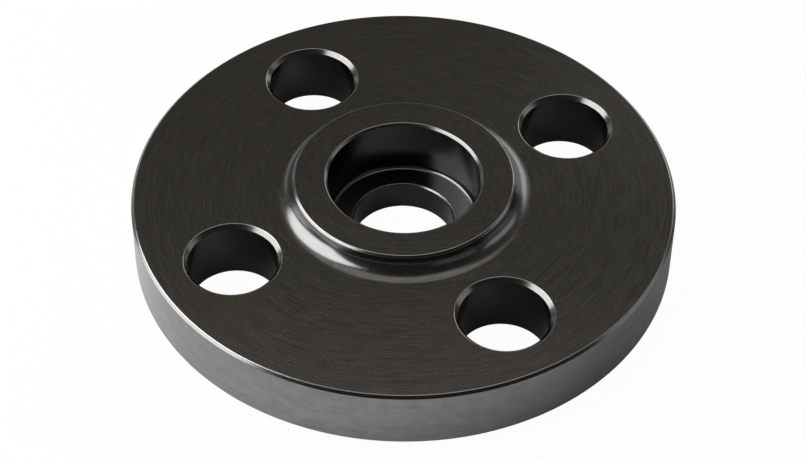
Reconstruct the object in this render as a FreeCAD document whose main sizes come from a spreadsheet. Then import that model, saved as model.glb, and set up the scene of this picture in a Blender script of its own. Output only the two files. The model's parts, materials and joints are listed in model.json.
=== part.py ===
import FreeCAD, Part
import math
import os
import Sketcher

# Socket weld pipe flange with a ring type joint face, forged and turned from one piece of steel.
# Frame: origin at the centre of the joint face, +Z along the bore towards the hub. Millimetres.

# Driving dimensions, one cell each
SIZES = {
    "flange_diameter": 99.0,
    "flange_thickness": 11.8,
    "rim_chamfer": 0.5,
    "rim_back_chamfer": 0.3,
    "hub_diameter": 40.4,
    "hub_height": 3.5,
    "hub_draft_angle": 7.0,
    "hub_root_fillet": 3.2,
    "hub_chamfer": 0.35,
    "hub_wall_land": 0.1,
    "raised_face_diameter": 51.0,
    "raised_face_height": 1.6,
    "raised_face_chamfer": 0.3,
    "bore_diameter": 18.4,
    "bore_edge_chamfer": 0.25,
    "socket_diameter": 27.7,
    "socket_depth": 11.0,
    "socket_floor_fillet": 0.8,
    "socket_mouth_chamfer": 0.45,
    "ring_pitch_diameter": 34.13,
    "ring_groove_width": 7.14,
    "ring_groove_depth": 5.54,
    "ring_groove_wall_angle": 23.0,
    "ring_groove_floor_fillet": 0.8,
    "bolt_circle_diameter": 69.9,
    "bolt_hole_diameter": 16.0,
    "bolt_hole_count": 4,
    "bolt_hole_chamfer": 0.75,
    "bolt_hole_back_chamfer": 0.3,
    "first_bolt_angle": 45.0,
    "cut_overrun": 2.0,
}

# Radii, levels and fits worked out in the sheet from the driving dimensions
DERIVED = {
    "disc_back_z": "=raised_face_height",
    "disc_front_z": "=disc_back_z + flange_thickness",
    "hub_top_z": "=disc_front_z + hub_height",
    "socket_floor_z": "=hub_top_z - socket_depth",
    "cut_start_z": "=-cut_overrun",
    "cut_end_z": "=hub_top_z + cut_overrun",
    "flange_radius": "=flange_diameter / 2",
    "hub_top_radius": "=hub_diameter / 2",
    "hub_root_radius": "=hub_top_radius + hub_height * tan(hub_draft_angle * 1 deg)",
    "hub_wall_room": "=(hub_height - hub_chamfer - hub_wall_land) / cos(hub_draft_angle * 1 deg)",
    "hub_fillet_reach": "=tan((90 - hub_draft_angle) / 2 * 1 deg)",
    "hub_root_fillet_fitted": "=min(hub_root_fillet; hub_wall_room / hub_fillet_reach)",
    "raised_face_radius": "=raised_face_diameter / 2",
    "bore_radius": "=bore_diameter / 2",
    "socket_radius": "=socket_diameter / 2",
    "ring_pitch_radius": "=ring_pitch_diameter / 2",
    "groove_wall_run": "=ring_groove_depth * tan(ring_groove_wall_angle * 1 deg)",
    "groove_inner_mouth": "=ring_pitch_radius - ring_groove_width / 2",
    "groove_outer_mouth": "=ring_pitch_radius + ring_groove_width / 2",
    "groove_inner_floor": "=groove_inner_mouth + groove_wall_run",
    "groove_outer_floor": "=groove_outer_mouth - groove_wall_run",
    "bolt_circle_radius": "=bolt_circle_diameter / 2",
    "bolt_hole_radius": "=bolt_hole_diameter / 2",
}

MATCH = 1e-4    # how closely an edge has to lie where the sheet says
FULL_TURN = 360.0

doc = FreeCAD.newDocument("pipe_flange")


def make_sheet():
    sheet = doc.addObject("Spreadsheet::Sheet", "Dimensions")
    rows = list(SIZES.items()) + list(DERIVED.items())
    for row, (alias, content) in enumerate(rows, start=1):
        sheet.set(f"A{row}", alias)
        sheet.set(f"B{row}", str(content))
        sheet.setAlias(f"B{row}", alias)
    doc.recompute()
    return sheet


sheet = make_sheet()


def size(alias):
    return float(getattr(sheet, alias))


def follow(thing, path, alias):
    """Tie one property or constraint to a cell of the sheet."""
    thing.setExpression(path, f"{sheet.Name}.{alias}")


# Sketches on the body's own origin planes

def origin_feature(body, role):
    return next(item for item in body.Origin.OriginFeatures if item.Role == role)


def add_sketch(body, name, role):
    sketch = body.newObject("Sketcher::SketchObject", name)
    sketch.AttachmentSupport = (origin_feature(body, role), [""])
    sketch.MapMode = "FlatFace"
    return sketch


def add_dimension(sketch, name, alias, constraint):
    index = sketch.addConstraint(constraint)
    sketch.renameConstraint(index, name)
    follow(sketch, f"Constraints.{name}", alias)


def draw_half_section(sketch, corners):
    """Closed outline right of the axis, through corners of (radius alias, height alias).

    None means on the axis, or on the joint face. Neighbours that share a radius or a height are
    held by a vertical or horizontal line, and the first of them carries the dimension.
    """
    points = []
    for radius, height in corners:
        x = size(radius) if radius else 0.0
        z = size(height) if height else 0.0
        points.append(FreeCAD.Vector(x, z, 0))
    count = len(points)
    for i in range(count):
        sketch.addGeometry(Part.LineSegment(points[i], points[(i + 1) % count]), False)
    for i in range(count):
        sketch.addConstraint(Sketcher.Constraint("Coincident", i, 2, (i + 1) % count, 1))
    for i, (radius, height) in enumerate(corners):
        before_radius, before_height = corners[i - 1] if i else (None, None)
        if radius is None:
            sketch.addConstraint(Sketcher.Constraint("PointOnObject", i, 1, -2))
        elif radius == before_radius:
            sketch.addConstraint(Sketcher.Constraint("Vertical", i - 1))
        else:
            distance = Sketcher.Constraint("DistanceX", -1, 1, i, 1, points[i].x)
            add_dimension(sketch, f"{radius}_{i}", radius, distance)
        if height is None:
            sketch.addConstraint(Sketcher.Constraint("PointOnObject", i, 1, -1))
        elif height == before_height:
            sketch.addConstraint(Sketcher.Constraint("Horizontal", i - 1))
        else:
            distance = Sketcher.Constraint("DistanceY", -1, 1, i, 1, points[i].y)
            add_dimension(sketch, f"{height}_{i}", height, distance)


# Turned features

def turn(body, kind, name, corners):
    """Turn a half section about the bore axis, as added metal or as a groove."""
    sketch = add_sketch(body, name + "_section", "XZ_Plane")
    draw_half_section(sketch, corners)
    feature = body.newObject(kind, name)
    feature.Profile = sketch
    feature.ReferenceAxis = (sketch, ["V_Axis"])
    feature.Angle = FULL_TURN
    doc.recompute()
    return feature


def circle_names(shape, radius, height):
    """Names of the round edges of this radius that lie flat at this height."""
    names = []
    for index, edge in enumerate(shape.Edges, start=1):
        curve = edge.Curve
        if not isinstance(curve, Part.Circle) or abs(abs(curve.Axis.z) - 1.0) > MATCH:
            continue
        if abs(curve.Radius - radius) < MATCH and abs(curve.Center.z - height) < MATCH:
            names.append(f"Edge{index}")
    if not names:
        raise RuntimeError(f"no round edge of radius {radius:.3f} at height {height:.3f}")
    return names


def dress(body, kind, name, size_alias, circles):
    """Chamfer or round the circles, each given as (radius, height)."""
    base = body.Tip
    edges = []
    for radius, height in circles:
        edges += circle_names(base.Shape, radius, height)
    feature = body.newObject(kind, name)
    feature.Base = (base, edges)
    follow(feature, "Radius" if kind.endswith("Fillet") else "Size", size_alias)
    doc.recompute()
    return feature


# The flange

def add_blank(body):
    return turn(body, "PartDesign::Revolution", "turned_blank", [
        (None, None),
        ("raised_face_radius", None),
        ("raised_face_radius", "disc_back_z"),
        ("flange_radius", "disc_back_z"),
        ("flange_radius", "disc_front_z"),
        ("hub_root_radius", "disc_front_z"),
        ("hub_top_radius", "hub_top_z"),
        (None, "hub_top_z"),
    ])


def add_bore_and_socket(body):
    return turn(body, "PartDesign::Groove", "bore_and_socket", [
        (None, "cut_start_z"),
        ("bore_radius", "cut_start_z"),
        ("bore_radius", "socket_floor_z"),
        ("socket_radius", "socket_floor_z"),
        ("socket_radius", "cut_end_z"),
        (None, "cut_end_z"),
    ])


def add_ring_groove(body):
    return turn(body, "PartDesign::Groove", "ring_groove", [
        ("groove_inner_mouth", "cut_start_z"),
        ("groove_inner_mouth", None),
        ("groove_inner_floor", "ring_groove_depth"),
        ("groove_outer_floor", "ring_groove_depth"),
        ("groove_outer_mouth", None),
        ("groove_outer_mouth", "cut_start_z"),
    ])


def add_bolt_holes(body):
    angle = math.radians(size("first_bolt_angle"))
    centre = FreeCAD.Vector(math.cos(angle), math.sin(angle), 0) * size("bolt_circle_radius")
    sketch = add_sketch(body, "bolt_hole_outline", "XY_Plane")
    spoke = sketch.addGeometry(Part.LineSegment(FreeCAD.Vector(0, 0, 0), centre), True)
    hole = sketch.addGeometry(Part.Circle(centre, FreeCAD.Vector(0, 0, 1), size("bolt_hole_radius")), False)
    sketch.addConstraint(Sketcher.Constraint("Coincident", spoke, 1, -1, 1))
    sketch.addConstraint(Sketcher.Constraint("Coincident", spoke, 2, hole, 3))
    spoke_angle = sketch.addConstraint(Sketcher.Constraint("Angle", -1, 1, spoke, 1, angle))
    sketch.renameConstraint(spoke_angle, "first_bolt_angle")
    sketch.setExpression("Constraints.first_bolt_angle", f"{sheet.Name}.first_bolt_angle * 1 deg")
    length = Sketcher.Constraint("Distance", spoke, size("bolt_circle_radius"))
    add_dimension(sketch, "bolt_circle_radius", "bolt_circle_radius", length)
    radius = Sketcher.Constraint("Radius", hole, size("bolt_hole_radius"))
    add_dimension(sketch, "bolt_hole_radius", "bolt_hole_radius", radius)

    pocket = body.newObject("PartDesign::Pocket", "first_bolt_hole")
    pocket.Profile = sketch
    pocket.Type = "ThroughAll"
    pocket.Reversed = True
    doc.recompute()

    pattern = body.newObject("PartDesign::PolarPattern", "bolt_holes")
    pattern.Originals = [pocket]
    pattern.Axis = (origin_feature(body, "Z_Axis"), [""])
    pattern.Angle = FULL_TURN
    follow(pattern, "Occurrences", "bolt_hole_count")
    body.Tip = pattern
    doc.recompute()
    return pattern


def add_fillets(body):
    fillet = "PartDesign::Fillet"
    dress(body, fillet, "hub_root_fillet", "hub_root_fillet_fitted",
          [(size("hub_root_radius"), size("disc_front_z"))])
    dress(body, fillet, "socket_floor_fillet", "socket_floor_fillet",
          [(size("socket_radius"), size("socket_floor_z"))])
    dress(body, fillet, "ring_groove_floor_fillets", "ring_groove_floor_fillet",
          [(size("groove_inner_floor"), size("ring_groove_depth")),
           (size("groove_outer_floor"), size("ring_groove_depth"))])


def add_chamfers(body):
    chamfer = "PartDesign::Chamfer"
    dress(body, chamfer, "rim_chamfer", "rim_chamfer",
          [(size("flange_radius"), size("disc_front_z"))])
    dress(body, chamfer, "rim_back_chamfer", "rim_back_chamfer",
          [(size("flange_radius"), size("disc_back_z"))])
    dress(body, chamfer, "hub_chamfer", "hub_chamfer",
          [(size("hub_top_radius"), size("hub_top_z"))])
    dress(body, chamfer, "raised_face_chamfer", "raised_face_chamfer",
          [(size("raised_face_radius"), 0.0)])
    dress(body, chamfer, "socket_mouth_chamfer", "socket_mouth_chamfer",
          [(size("socket_radius"), size("hub_top_z"))])
    dress(body, chamfer, "bore_edge_chamfers", "bore_edge_chamfer",
          [(size("bore_radius"), 0.0), (size("bore_radius"), size("socket_floor_z"))])
    dress(body, chamfer, "bolt_hole_chamfers", "bolt_hole_chamfer",
          [(size("bolt_hole_radius"), size("disc_front_z"))])
    dress(body, chamfer, "bolt_hole_back_chamfers", "bolt_hole_back_chamfer",
          [(size("bolt_hole_radius"), size("disc_back_z"))])


def check_cut(volume_before, feature):
    if feature.Shape.Volume >= volume_before:
        raise RuntimeError(f"{feature.Name} removed no metal")


def make_flange():
    body = doc.addObject("PartDesign::Body", "flange")
    body.Label = "flange"
    blank = add_blank(body)
    volume = blank.Shape.Volume
    for add_cut in (add_bore_and_socket, add_ring_groove, add_bolt_holes):
        cut = add_cut(body)
        check_cut(volume, cut)
        volume = cut.Shape.Volume
    add_fillets(body)
    add_chamfers(body)
    return body


def check_document():
    for item in doc.Objects:
        if "Invalid" in item.State or "Error" in item.State:
            raise RuntimeError(f"{item.Name} failed: {item.State}")


def write_step(body):
    shape = body.Shape
    if shape.isNull() or not shape.isValid() or len(shape.Solids) != 1:
        raise RuntimeError(f"{body.Label} is not one valid solid")
    os.makedirs("parts", exist_ok=True)
    shape.exportStep(f"parts/{body.Label}.step")
    box = shape.optimalBoundingBox(False)
    print(f"{body.Label}: {shape.Volume:.1f} mm3, {len(shape.Faces)} faces, "
          f"{box.XLength:.2f} x {box.YLength:.2f} x {box.ZLength:.2f} mm")


flange = make_flange()
doc.recompute()
check_document()
write_step(flange)
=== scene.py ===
import json
import math

import bpy
from mathutils import Matrix, Vector
from mathutils.geometry import delaunay_2d_cdt


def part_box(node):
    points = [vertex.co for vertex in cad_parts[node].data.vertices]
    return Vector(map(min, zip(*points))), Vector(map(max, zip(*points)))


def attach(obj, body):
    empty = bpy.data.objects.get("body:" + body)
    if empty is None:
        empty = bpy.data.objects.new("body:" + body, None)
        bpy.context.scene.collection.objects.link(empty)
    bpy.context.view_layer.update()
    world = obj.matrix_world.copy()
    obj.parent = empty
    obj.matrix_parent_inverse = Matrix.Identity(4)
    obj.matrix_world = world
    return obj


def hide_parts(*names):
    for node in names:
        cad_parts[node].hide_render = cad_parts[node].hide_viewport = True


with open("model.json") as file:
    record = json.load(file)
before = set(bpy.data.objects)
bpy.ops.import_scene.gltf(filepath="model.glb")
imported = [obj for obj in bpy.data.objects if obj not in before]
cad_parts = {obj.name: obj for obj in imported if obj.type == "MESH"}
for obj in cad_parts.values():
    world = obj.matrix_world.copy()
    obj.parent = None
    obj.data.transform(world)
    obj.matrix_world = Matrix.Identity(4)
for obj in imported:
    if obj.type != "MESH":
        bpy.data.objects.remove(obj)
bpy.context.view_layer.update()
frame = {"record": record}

# A small steel pipe flange: turned all over, drilled for four bolts and lightly oiled.
# Metres. The joint face lies on the floor and +Z runs up the bore to the hub.

MM = 0.001
NODE = "flange"

# Sizes that the frame gives

MOUNTS = {mount["name"]: mount for mount in frame["record"]["mounts"]}
LOWEST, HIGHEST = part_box(NODE)
FLANGE_RADIUS = (HIGHEST.x - LOWEST.x) / 2
HUB_TOP = HIGHEST.z
DISC_FRONT = MOUNTS["nut_face"]["pos_m"][2]
SOCKET_RADIUS = MOUNTS["pipe_socket"]["dims"]["r_mm"] * MM
BORE_RADIUS = MOUNTS["bore"]["dims"]["r_mm"] * MM
BOLT_CIRCLE_RADIUS = MOUNTS["bolt_holes"]["dims"]["pcd_mm"] * MM / 2
BOLT_HOLE_RADIUS = MOUNTS["bolt_holes"]["dims"]["hole_r_mm"] * MM
BOLT_HOLE_COUNT = MOUNTS["bolt_holes"]["dims"]["count"]

# Sizes of the same flange that the frame leaves unsaid

FIRST_BOLT_ANGLE = math.radians(45.0)
DISC_BACK = 1.6 * MM
RIM_CHAMFER = 0.5 * MM
RIM_BACK_CHAMFER = 0.3 * MM
HUB_RADIUS = 20.2 * MM
HUB_DRAFT = math.radians(7.0)
HUB_CHAMFER = 0.35 * MM
HUB_ROOT_ROUNDING = 3.2 * MM
MOUTH_CHAMFER = 0.45 * MM
SOCKET_FLOOR = 5.9 * MM
SOCKET_FLOOR_ROUNDING = 0.8 * MM
BORE_CHAMFER = 0.25 * MM
RAISED_FACE_RADIUS = 25.5 * MM
RAISED_FACE_CHAMFER = 0.3 * MM
RAISED_FACE_ROOT_ROUNDING = 0.4 * MM
GROOVE_PITCH_RADIUS = 17.065 * MM
GROOVE_WIDTH = 7.14 * MM
GROOVE_DEPTH = 5.54 * MM
GROOVE_WALL_ANGLE = math.radians(23.0)
GROOVE_FLOOR_ROUNDING = 0.8 * MM
BOLT_HOLE_CHAMFER = 0.75 * MM
BOLT_HOLE_BACK_CHAMFER = 0.3 * MM

# How far finishing and handling rounded each machined edge

RIM_EDGE = 0.22 * MM
HUB_EDGE = 0.22 * MM
MOUTH_EDGE = 0.2 * MM
INNER_EDGE = 0.1 * MM
WORN_BAND = 0.13 * MM           # how far the brightened metal runs on beside an outside edge

# Fineness of the mesh

TURNED_STEPS = 288
DRILLED_STEPS = 160
ARC_STEP = math.radians(9.0)
FEWEST_ARC_STEPS = 3
PLATE_MARGIN = 0.3 * MM         # flat stretch that a turned outline keeps at each end
TRIANGLES_INSIDE = 1            # asks the triangulation for what lies inside the sides alone

# Material slots of the piece

TURNED, DRILLED = 0, 1


# The outline of a turned surface

def rounded_outline(corners):
    """Points of an open outline whose corners, given as (radius, height, rounding), are rounded.

    Each point is (radius, height, normal outwards, normal upwards, edge). The metal lies to the left
    of the way the outline runs, and edge is 1 on a rounded outside edge and 0 a little beside it.
    """
    outline = []
    for i, (radius, height, rounding) in enumerate(corners):
        here = Vector((radius, height))
        if i > 0:
            arriving = (here - Vector(corners[i - 1][:2])).normalized()
        if i < len(corners) - 1:
            leaving = (Vector(corners[i + 1][:2]) - here).normalized()
        if i in (0, len(corners) - 1):
            way = leaving if i == 0 else arriving
            outline.append((radius, height, way.y, -way.x, 0.0))
            continue
        turn = math.atan2(arriving.x * leaving.y - arriving.y * leaving.x, arriving.dot(leaving))
        side = math.copysign(1.0, turn)
        start = here - arriving * rounding * math.tan(abs(turn) / 2)
        normal = Vector((arriving.y, -arriving.x))
        centre = start - normal * side * rounding
        steps = max(FEWEST_ARC_STEPS, math.ceil(abs(turn) / ARC_STEP))
        edge = 1.0 if side > 0 else 0.0
        if edge:
            outline.append((*(start - arriving * WORN_BAND), *normal, 0.0))
        for step in range(steps + 1):
            facing = Matrix.Rotation(turn * step / steps, 2) @ normal
            outline.append((*(centre + facing * side * rounding), *facing, edge))
        if edge:
            end = centre + facing * side * rounding + leaving * WORN_BAND
            outline.append((*end, *facing, 0.0))
    return outline


def rim_outline():
    """Round the outside of the disc, from its back to its front."""
    back, front = FLANGE_RADIUS - RIM_BACK_CHAMFER, FLANGE_RADIUS - RIM_CHAMFER
    return rounded_outline([
        (back - PLATE_MARGIN, DISC_BACK, 0),
        (back, DISC_BACK, INNER_EDGE),
        (FLANGE_RADIUS, DISC_BACK + RIM_BACK_CHAMFER, INNER_EDGE),
        (FLANGE_RADIUS, DISC_FRONT - RIM_CHAMFER, RIM_EDGE),
        (front, DISC_FRONT, RIM_EDGE),
        (front - PLATE_MARGIN, DISC_FRONT, 0),
    ])


def hub_and_bore_outline():
    """From the front of the disc over the hub, down the socket and bore, and out over the joint face."""
    hub_root = HUB_RADIUS + (HUB_TOP - DISC_FRONT) * math.tan(HUB_DRAFT)
    chamfer_foot = HUB_TOP - HUB_CHAMFER * math.cos(HUB_DRAFT)
    half_groove = GROOVE_WIDTH / 2
    half_floor = half_groove - GROOVE_DEPTH * math.tan(GROOVE_WALL_ANGLE)
    return rounded_outline([
        (hub_root + HUB_ROOT_ROUNDING, DISC_FRONT, 0),
        (hub_root, DISC_FRONT, HUB_ROOT_ROUNDING),
        (HUB_RADIUS + HUB_CHAMFER * math.sin(HUB_DRAFT), chamfer_foot, HUB_EDGE),
        (HUB_RADIUS - HUB_CHAMFER, HUB_TOP, HUB_EDGE),
        (SOCKET_RADIUS + MOUTH_CHAMFER, HUB_TOP, MOUTH_EDGE),
        (SOCKET_RADIUS, HUB_TOP - MOUTH_CHAMFER, MOUTH_EDGE),
        (SOCKET_RADIUS, SOCKET_FLOOR, SOCKET_FLOOR_ROUNDING),
        (BORE_RADIUS + BORE_CHAMFER, SOCKET_FLOOR, INNER_EDGE),
        (BORE_RADIUS, SOCKET_FLOOR - BORE_CHAMFER, INNER_EDGE),
        (BORE_RADIUS, BORE_CHAMFER, INNER_EDGE),
        (BORE_RADIUS + BORE_CHAMFER, 0.0, INNER_EDGE),
        (GROOVE_PITCH_RADIUS - half_groove, 0.0, INNER_EDGE),
        (GROOVE_PITCH_RADIUS - half_floor, GROOVE_DEPTH, GROOVE_FLOOR_ROUNDING),
        (GROOVE_PITCH_RADIUS + half_floor, GROOVE_DEPTH, GROOVE_FLOOR_ROUNDING),
        (GROOVE_PITCH_RADIUS + half_groove, 0.0, INNER_EDGE),
        (RAISED_FACE_RADIUS - RAISED_FACE_CHAMFER, 0.0, INNER_EDGE),
        (RAISED_FACE_RADIUS, RAISED_FACE_CHAMFER, INNER_EDGE),
        (RAISED_FACE_RADIUS, DISC_BACK, RAISED_FACE_ROOT_ROUNDING),
        (RAISED_FACE_RADIUS + 2 * RAISED_FACE_ROOT_ROUNDING, DISC_BACK, 0),
    ])


def bolt_hole_outline():
    """Down one bolt hole, as a radius about its own axis."""
    front, back = BOLT_HOLE_RADIUS + BOLT_HOLE_CHAMFER, BOLT_HOLE_RADIUS + BOLT_HOLE_BACK_CHAMFER
    return rounded_outline([
        (front + PLATE_MARGIN, DISC_FRONT, 0),
        (front, DISC_FRONT, MOUTH_EDGE),
        (BOLT_HOLE_RADIUS, DISC_FRONT - BOLT_HOLE_CHAMFER, MOUTH_EDGE),
        (BOLT_HOLE_RADIUS, DISC_BACK + BOLT_HOLE_BACK_CHAMFER, INNER_EDGE),
        (back, DISC_BACK, INNER_EDGE),
        (back + PLATE_MARGIN, DISC_BACK, 0),
    ])


def bolt_hole_centre(number):
    angle = FIRST_BOLT_ANGLE + 2 * math.pi * number / BOLT_HOLE_COUNT
    return Vector((math.cos(angle), math.sin(angle), 0.0)) * BOLT_CIRCLE_RADIUS


# The mesh

class Skin:
    """Vertices with their true normals, and faces, gathered for one closed mesh."""

    def __init__(self):
        self.points = []
        self.normals = []
        self.edges = []
        self.faces = []
        self.slots = []

    def turn(self, outline, centre, steps, slot):
        """Turn an outline about an upright axis through centre. Returns its first and last rings."""
        rings = []
        for radius, height, out, up, edge in outline:
            first = len(self.points)
            for step in range(steps):
                angle = 2 * math.pi * step / steps
                spoke = Vector((math.cos(angle), math.sin(angle), 0.0))
                self.points.append(centre + spoke * radius + Vector((0.0, 0.0, height)))
                self.normals.append(spoke * out + Vector((0.0, 0.0, up)))
                self.edges.append(edge)
            rings.append(range(first, first + steps))
        for near, far in zip(rings, rings[1:]):
            for i in range(steps):
                j = (i + 1) % steps
                self.faces.append((near[i], near[j], far[j], far[i]))
                self.slots.append(slot)
        return rings[0], rings[-1]

    def plate(self, rim, openings, upwards, slot):
        """Fill the flat stretch inside the ring rim and outside the rings in openings.

        A triangle with all its corners on one opening lies inside that opening, and is left out.
        """
        loops = [rim, *openings]
        corners = [index for loop in loops for index in loop]
        loop_of = [number for number, loop in enumerate(loops) for _ in loop]
        flat = [Vector(self.points[index][:2]) / MM for index in corners]
        sides = []
        for number, loop in enumerate(loops):
            first = loop_of.index(number)
            sides += [(first + i, first + (i + 1) % len(loop)) for i in range(len(loop))]
        triangles = delaunay_2d_cdt(flat, sides, [], TRIANGLES_INSIDE, 0.0)[2]
        for triangle in triangles:
            owners = {loop_of[corner] for corner in triangle}
            if len(owners) == 1 and 0 not in owners:
                continue
            face = [corners[corner] for corner in triangle]
            a, b, c = (self.points[index] for index in face)
            if ((b - a).cross(c - a).z > 0) != upwards:
                face.reverse()
            self.faces.append(tuple(face))
            self.slots.append(slot)

    def make(self, name):
        mesh = bpy.data.meshes.new(name)
        mesh.from_pydata(self.points, [], self.faces)
        mesh.polygons.foreach_set("material_index", self.slots)
        mesh.shade_smooth()
        mesh.normals_split_custom_set_from_vertices(self.normals)
        mesh.attributes.new("edge", "FLOAT", "POINT").data.foreach_set("value", self.edges)
        mesh.validate()
        piece = bpy.data.objects.new(name, mesh)
        bpy.context.scene.collection.objects.link(piece)
        return piece


def make_flange():
    skin = Skin()
    axis = Vector((0.0, 0.0, 0.0))
    rim_back, rim_front = skin.turn(rim_outline(), axis, TURNED_STEPS, TURNED)
    hub_front, hub_back = skin.turn(hub_and_bore_outline(), axis, TURNED_STEPS, TURNED)
    centres = [bolt_hole_centre(number) for number in range(BOLT_HOLE_COUNT)]
    holes = [skin.turn(bolt_hole_outline(), centre, DRILLED_STEPS, DRILLED) for centre in centres]
    skin.plate(rim_front, [hub_front, *(front for front, _ in holes)], True, TURNED)
    skin.plate(rim_back, [hub_back, *(back for _, back in holes)], False, TURNED)
    return skin.make("turned_flange")


# Node trees

class Tree:
    """Short calls that add nodes to one node tree."""

    def __init__(self, owner):
        owner.use_nodes = True
        self.tree = owner.node_tree
        self.tree.nodes.clear()

    def node(self, kind, inputs=None, **settings):
        node = self.tree.nodes.new("ShaderNode" + kind)
        for name, value in settings.items():
            setattr(node, name, value)
        for key, value in (inputs or {}).items():
            self.feed(node.inputs[key], value)
        return node

    def feed(self, socket, value):
        """Link another node's output to a socket, or set the value on the socket itself."""
        if isinstance(value, bpy.types.NodeSocket):
            self.tree.links.new(value, socket)
        else:
            socket.default_value = value

    def math(self, operation, *values):
        return self.node("Math", dict(enumerate(values)), operation=operation).outputs[0]

    def vector(self, operation, *values):
        return self.node("VectorMath", dict(enumerate(values)), operation=operation).outputs[0]

    def stretch(self, vector, factor):
        return self.node("VectorMath", {0: vector, "Scale": factor}, operation="SCALE").outputs[0]

    def dot(self, first, second):
        return self.node("VectorMath", {0: first, 1: second}, operation="DOT_PRODUCT").outputs["Value"]

    def length(self, vector):
        return self.node("VectorMath", {0: vector}, operation="LENGTH").outputs["Value"]

    def combine(self, x, y, z):
        return self.node("CombineXYZ", {0: x, 1: y, 2: z}).outputs[0]

    def separate(self, vector):
        return self.node("SeparateXYZ", {0: vector}).outputs

    def noise(self, vector, scale, detail, roughness=0.5):
        inputs = {"Vector": vector, "Scale": scale, "Detail": detail, "Roughness": roughness}
        return self.node("TexNoise", inputs, noise_dimensions="3D").outputs[0]

    def remap(self, value, low, high, to_low, to_high, smooth=False):
        inputs = {0: value, 1: low, 2: high, 3: to_low, 4: to_high}
        kind = "SMOOTHSTEP" if smooth else "LINEAR"
        return self.node("MapRange", inputs, interpolation_type=kind).outputs[0]

    def blend(self, share, first, second):
        node = self.node("Mix", data_type="RGBA")
        sockets = {socket.name: socket for socket in node.inputs if socket.enabled}
        for key, value in {"Factor": share, "A": first, "B": second}.items():
            self.feed(sockets[key], value)
        return next(socket for socket in node.outputs if socket.enabled)


# The steel. Its patterns are laid out in millimetres.

STEEL_WARM = (0.195, 0.180, 0.164, 1.0)
STEEL_GREEN = (0.172, 0.184, 0.167, 1.0)
STEEL_POLISHED = (0.208, 0.206, 0.204, 1.0)
STEEL_RIM = (0.310, 0.308, 0.318, 1.0)
STEEL_EDGE = (0.560, 0.556, 0.548, 1.0)

# The steel is browner and lighter towards one side of the disc
BROWNED_TINT = (1.165, 1.08, 1.12)  # its tone there, over that of the rest
BROWNED_SIDE = math.radians(282.0)
BROWNED_REACH = (20.0, 34.0)    # how far out on that side it sets in, and is full

# The socket, the bore and the bolt holes are smoother than the turned flats, and painted shade darkens
# their walls as in a recess
RECESS_WALL_SHADE = 0.34               # of the steel's tone, on their walls
BORED_POLISH = 0.8              # how much of the grain the finer tool left out of the socket's floor
BORED_MARGIN = 0.1              # past the socket's wall, so that all of the wall counts
RIM_MARGIN = 0.3                # the same, inwards from the rim

# How far the surface faces up or down, from 0 to 1, where each stretch gives way to the next
WALL_LEVELS = (0.2, 0.5)        # from an upright wall
POLISH_LEVELS = (0.90, 0.99)    # from a fillet or chamfer to a flat
WORN_LEVELS = (0.72, 0.90)      # from an edge that little touches to one that hands and tools rub
WORN_LEAST = 0.1                # wear on the first of these
WORN_PATCHES = (0.6, 1.0)       # wear comes and goes between these along an edge

# The first of each pair holds on the flats, and the second on polished stretches
STEEL_ROUGHNESS = (0.23, 0.205)
MARK_SWING = (0.86, 0.22)       # how far tool marks darken and lighten the steel
SPECK_SWING = (0.28, 0.04)      # and specks
BROWNED_MARK_SWING = (-0.24, 0.0)   # what the browner stretch adds to the marks

RIM_MARK_SWING = 0.34           # what the rim adds to the marks of a polished stretch
RIM_CLOUD_SWING = 0.10
ROUGHNESS_SWING = 0.03
NOISE_SPAN = (0.3, 0.7)         # noise seldom leaves this span
MOTTLE_SPAN = (0.38, 0.62)      # over which the skin turns from warm to green

# Tool marks run in rings, with broader bands among them
BAND_SHARE = 0.4                # strength of the bands beside that of the marks
GRAIN_PER_MM = 5.0              # tool marks in each millimetre across them
GRAIN_ROUND = 8.0               # how often a tool mark fades on its way round
GRAIN_DETAIL = 2.0
BAND_PER_MM = 0.9
BAND_ROUND = 2.2
BAND_DETAIL = 3.0
RING_ROUGHNESS = 0.6
HEIGHT_SHARE = 1.37             # height counts this much more than radius across the grain
HOLE_SHIFTS = (41.0, 97.0)      # along the noise, so that no bolt hole's marks repeat another's
MOTTLE_PER_MM = 0.45
MOTTLE_DETAIL = 3.0
SPECK_PER_MM = 3.5
SPECK_DETAIL = 2.0
GRAIN_DEPTH = 0.0008 * MM       # in metres
GRAIN_ANISOTROPY = 0.20
ACROSS_GRAIN = 0.25             # of a turn from the tangent, which runs along the grain


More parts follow.
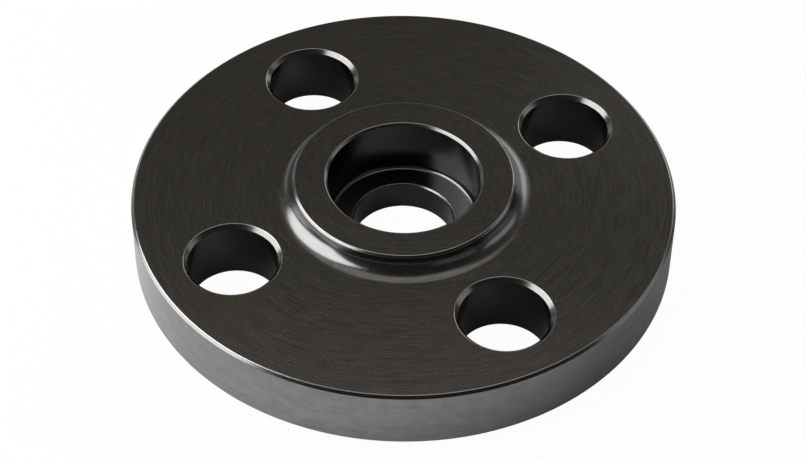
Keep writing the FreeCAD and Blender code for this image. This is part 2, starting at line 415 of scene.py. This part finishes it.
class SteelTree(Tree):
    """Dark turned steel, with its grain round the bore or, given a centre, round each bolt hole."""

    def __init__(self, owner, hole_centre):
        super().__init__(owner)
        self.drilled = hole_centre is not None
        self.place = self.stretch(self.node("TexCoord").outputs["Object"], 1 / MM)
        self.find_rings(hole_centre)
        self.marks = self.rings(GRAIN_PER_MM, GRAIN_ROUND, GRAIN_DETAIL)
        self.bands = self.rings(BAND_PER_MM, BAND_ROUND, BAND_DETAIL)
        self.mottle = self.noise(self.place, MOTTLE_PER_MM, MOTTLE_DETAIL)
        self.specks = self.noise(self.place, SPECK_PER_MM, SPECK_DETAIL)
        self.find_stretches()

    def find_rings(self, hole_centre):
        """Find where each point lies about its axis. One folded quarter serves all four bolt holes."""
        local = self.place
        if self.drilled:
            folded = self.vector("ABSOLUTE", self.place)
            local = self.vector("SUBTRACT", folded, tuple(hole_centre / MM))
        self.x, self.y, z = self.separate(local)
        flat = self.combine(self.x, self.y, 0.0)
        self.radius = self.length(flat)
        self.spoke = self.vector("NORMALIZE", flat)
        self.across = self.math("MULTIPLY_ADD", z, HEIGHT_SHARE, self.radius)
        if self.drilled:
            quarter = self.separate(self.vector("SIGN", self.place))
            for side, shift in zip(quarter, HOLE_SHIFTS):
                self.across = self.math("MULTIPLY_ADD", side, shift, self.across)

    def rings(self, per_mm, fades, detail):
        """Noise in rings, with this many in each millimetre, that fade this often on their way round."""
        along = self.stretch(self.spoke, fades)
        outwards = self.combine(0.0, 0.0, self.math("MULTIPLY", self.across, per_mm))
        return self.noise(self.vector("ADD", along, outwards), 1.0, detail, RING_ROUGHNESS)

    def find_stretches(self):
        """Shares, from 0 to 1, of each kind of stretch that a point belongs to."""
        normal = self.separate(self.node("NewGeometry").outputs["Normal"])
        self.level = self.math("ABSOLUTE", normal[2])
        self.wall = self.remap(self.level, *WALL_LEVELS, 1.0, 0.0)
        self.polish = self.remap(self.level, *POLISH_LEVELS, 1.0, 0.0)
        self.rim = 0.0
        if not self.drilled:
            # the socket and bore: smoother, and with painted shade on their walls
            self.bored_and_shaded = self.math("LESS_THAN", self.radius, SOCKET_RADIUS / MM + BORED_MARGIN)
            smooth = self.math("MULTIPLY", self.bored_and_shaded, BORED_POLISH)
            self.polish = self.math("MAXIMUM", self.polish, smooth)
            outside = self.math("GREATER_THAN", self.radius, FLANGE_RADIUS / MM - RIM_MARGIN)
            self.rim = self.math("MULTIPLY", self.wall, outside)
        side = (math.cos(BROWNED_SIDE), math.sin(BROWNED_SIDE), 0.0)
        out = self.dot(self.place, side)
        self.browned = self.remap(out, *BROWNED_REACH, 0.0, 1.0, smooth=True)

    def by_polish(self, pair):
        """The first of a pair on the flats, and the second on polished stretches."""
        return self.remap(self.polish, 0.0, 1.0, *pair)

    def swing(self, noise, most):
        """Noise that runs from minus to plus the most that it may change something."""
        return self.remap(noise, *NOISE_SPAN, -most, most)

    def clean_colour(self):
        """Colour before marks, the painted shade on recess walls, and wear."""
        mottled = self.blend(self.remap(self.mottle, *MOTTLE_SPAN, 0.0, 1.0), STEEL_WARM, STEEL_GREEN)
        tint = [self.math("MULTIPLY_ADD", self.browned, part - 1.0, 1.0) for part in BROWNED_TINT]
        colour = self.vector("MULTIPLY", mottled, self.combine(*tint))
        colour = self.blend(self.polish, colour, STEEL_POLISHED)
        return colour if self.drilled else self.blend(self.rim, colour, STEEL_RIM)

    def shade(self):
        """How marks, specks, clouds and the painted shade on recess walls change the tone, where 1 is no
        change.
        """
        rings = self.math("SUBTRACT", self.marks, (1 + BAND_SHARE) / 2)
        rings = self.math("MULTIPLY_ADD", self.bands, BAND_SHARE, rings)
        most = self.math("MULTIPLY_ADD", self.rim, RIM_MARK_SWING, self.by_polish(MARK_SWING))
        most = self.math("MULTIPLY_ADD", self.browned, self.by_polish(BROWNED_MARK_SWING), most)
        marked = self.math("MULTIPLY_ADD", rings, most, 1.0)
        specks = self.swing(self.specks, 1.0)
        speckled = self.math("MULTIPLY_ADD", specks, self.by_polish(SPECK_SWING), 1.0)
        shade = self.math("MULTIPLY", marked, speckled)
        clouds = self.math("MULTIPLY", self.rim, self.swing(self.mottle, RIM_CLOUD_SWING))
        shade = self.math("MULTIPLY_ADD", shade, clouds, shade)
        # painted shade: the walls of the socket, the bore and the bolt holes are darkened as recesses
        tone = RECESS_WALL_SHADE
        if not self.drilled:
            tone = self.math("MULTIPLY_ADD", self.bored_and_shaded, RECESS_WALL_SHADE - 1.0, 1.0)
        return self.math("MULTIPLY", shade, self.remap(self.wall, 0.0, 1.0, 1.0, tone))

    def worn(self):
        """Share of bright metal along the rounded edges."""
        edge = self.node("Attribute", attribute_name="edge").outputs["Fac"]
        worn = self.math("MULTIPLY", edge, self.remap(self.specks, *NOISE_SPAN, *WORN_PATCHES))
        return self.math("MULTIPLY", worn, self.remap(self.level, *WORN_LEVELS, WORN_LEAST, 1.0))

    def colour(self):
        shade = self.shade()
        shaded = self.vector("MULTIPLY", self.clean_colour(), self.combine(shade, shade, shade))
        return self.blend(self.worn(), shaded, STEEL_EDGE)

    def roughness(self):
        marked = self.swing(self.marks, ROUGHNESS_SWING)
        return self.math("ADD", marked, self.by_polish(STEEL_ROUGHNESS))

    def bump(self):
        height = self.math("MULTIPLY_ADD", self.bands, BAND_SHARE, self.marks)
        inputs = {"Height": height, "Strength": 1.0, "Distance": GRAIN_DEPTH}
        return self.node("Bump", inputs).outputs[0]

    def tangent(self):
        """Along the grain."""
        round_axis = self.combine(self.math("MULTIPLY", self.y, -1.0), self.x, 0.0)
        return self.vector("NORMALIZE", round_axis)


def steel(name, hole_centre=None):
    material = bpy.data.materials.new(name)
    tree = SteelTree(material, hole_centre)
    shader = tree.node("BsdfPrincipled", {
        "Base Color": tree.colour(),
        "Roughness": tree.roughness(),
        "Metallic": 1.0,
        "Anisotropic": GRAIN_ANISOTROPY,
        "Anisotropic Rotation": ACROSS_GRAIN,
        "Tangent": tree.tangent(),
        "Normal": tree.bump(),
    })
    tree.node("OutputMaterial", {"Surface": shader.outputs[0]})
    return material


# The camera stands where the photograph was taken from

CAMERA_AZIMUTH = math.radians(14.453)
CAMERA_ELEVATION = math.radians(45.513)
CAMERA_ROLL = math.radians(-0.699)
CAMERA_DISTANCE = 432.17 * MM
CAMERA_LENS = 103.99
SENSOR_WIDTH = 36.0
AIM_HEIGHT = 1.9 * MM
AIM_RIGHT = -0.029 * MM
AIM_UP = 0.741 * MM

# Azimuths in degrees, as the camera sees them
RIGHTWARDS, AWAY, BACKWARDS = 0.0, 90.0, 270.0


def toward(azimuth, elevation):
    """Unit vector at an azimuth and an elevation in degrees, as the camera sees them."""
    turn = math.radians(azimuth) + CAMERA_AZIMUTH
    rise = math.radians(elevation)
    return Vector((math.cos(turn) * math.cos(rise), math.sin(turn) * math.cos(rise), math.sin(rise)))


def make_camera():
    data = bpy.data.cameras.new("camera")
    data.lens = CAMERA_LENS
    data.sensor_width = SENSOR_WIDTH
    camera = bpy.data.objects.new("camera", data)
    bpy.context.scene.collection.objects.link(camera)
    back = toward(BACKWARDS, math.degrees(CAMERA_ELEVATION))
    right = toward(RIGHTWARDS, 0.0)
    up = back.cross(right)
    rolled_right = right * math.cos(CAMERA_ROLL) - up * math.sin(CAMERA_ROLL)
    rolled_up = right * math.sin(CAMERA_ROLL) + up * math.cos(CAMERA_ROLL)
    aim = Vector((0.0, 0.0, AIM_HEIGHT)) + rolled_right * AIM_RIGHT + rolled_up * AIM_UP
    place = Matrix((rolled_right, rolled_up, back)).transposed().to_4x4()
    place.translation = aim + back * CAMERA_DISTANCE
    camera.matrix_world = place
    bpy.context.scene.camera = camera


# The floor is plain white

FLOOR_SIZE = 20.0
FLOOR_COLOUR = (0.85, 0.85, 0.85, 1.0)
FLOOR_GLOW_SEEN = 0.97          # share of the floor's white that takes no shadow, as the camera sees it
FLOOR_GLOW_IN_METAL = 0.03      # the same, as the steel reflects it
WHITE = (1.0, 1.0, 1.0, 1.0)


def make_floor():
    half = FLOOR_SIZE / 2
    corners = [(-half, -half, 0), (half, -half, 0), (half, half, 0), (-half, half, 0)]
    mesh = bpy.data.meshes.new("floor")
    mesh.from_pydata(corners, [], [(0, 1, 2, 3)])
    floor = bpy.data.objects.new("floor", mesh)
    bpy.context.scene.collection.objects.link(floor)
    material = bpy.data.materials.new("pale_floor")
    tree = Tree(material)
    ray = tree.node("LightPath").outputs
    seen = tree.math("MULTIPLY", ray["Is Camera Ray"], FLOOR_GLOW_SEEN)
    seen = tree.math("MULTIPLY_ADD", ray["Is Glossy Ray"], FLOOR_GLOW_IN_METAL, seen)
    paint = tree.node("BsdfDiffuse", {"Color": FLOOR_COLOUR}).outputs[0]
    glow = tree.node("Emission", {"Color": WHITE, "Strength": 1.0}).outputs[0]
    mixed = tree.node("MixShader", {0: seen, 1: paint, 2: glow}).outputs[0]
    tree.node("OutputMaterial", {"Surface": mixed})
    mesh.materials.append(material)


# Soft lamps face the flange: name, azimuth, elevation, distance, width, height, radiance.
# Angles are in degrees, as the camera sees them, and lengths in metres.

LAMPS = [
    ("left_softbox", 183.0, 34.0, 0.30, 0.315, 0.295, 3.55),
    ("back_left_softbox", 122.0, 7.0, 0.90, 0.55, 0.20, 0.38),
    ("right_back_softbox", 57.0, 16.0, 0.75, 0.40, 0.36, 1.00),
    ("right_back_glow", 61.0, 27.0, 0.90, 0.52, 0.42, 0.34),
    ("right_glow", 6.0, 19.0, 0.80, 0.50, 0.30, 0.57),
    ("front_right_glow", 316.0, 14.0, 0.90, 0.60, 0.30, 0.15),
    ("overhead_softbox", 90.0, 79.3, 0.62, 0.54, 0.475, 0.49),
]


def make_lamps():
    for name, azimuth, elevation, distance, width, height, radiance in LAMPS:
        data = bpy.data.lights.new(name, "AREA")
        data.shape = "RECTANGLE"
        data.size = width
        data.size_y = height
        data.energy = radiance * math.pi * width * height
        lamp = bpy.data.objects.new(name, data)
        bpy.context.scene.collection.objects.link(lamp)
        way = toward(azimuth, elevation)
        lamp.location = way * distance
        lamp.rotation_euler = way.to_track_quat("Z", "Y").to_euler()
        lamp.visible_camera = False


# The room is plain and dark, darkest on the camera's side

ROOM_NEAR = (0.042, 0.042, 0.041, 1.0)
ROOM_FAR = (0.127, 0.120, 0.108, 1.0)
ROOM_TURN = (-0.5, 0.5)         # how far away from the camera's side the change runs


def make_room():
    world = bpy.data.worlds.new("studio")
    bpy.context.scene.world = world
    tree = Tree(world)
    away = tree.dot(tree.node("TexCoord").outputs["Generated"], toward(AWAY, 0.0))
    share = tree.remap(away, *ROOM_TURN, 0.0, 1.0, smooth=True)
    colour = tree.blend(share, ROOM_NEAR, ROOM_FAR)
    background = tree.node("Background", {"Color": colour, "Strength": 1.0})
    tree.node("OutputWorld", {"Surface": background.outputs[0]})


make_camera()
flange = make_flange()
flange.data.materials.append(steel("turned_steel"))
flange.data.materials.append(steel("drilled_steel", bolt_hole_centre(0)))
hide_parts(NODE)
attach(flange, "root")
make_floor()
make_lamps()
make_room()
bpy.context.scene.view_settings.view_transform = "Standard"
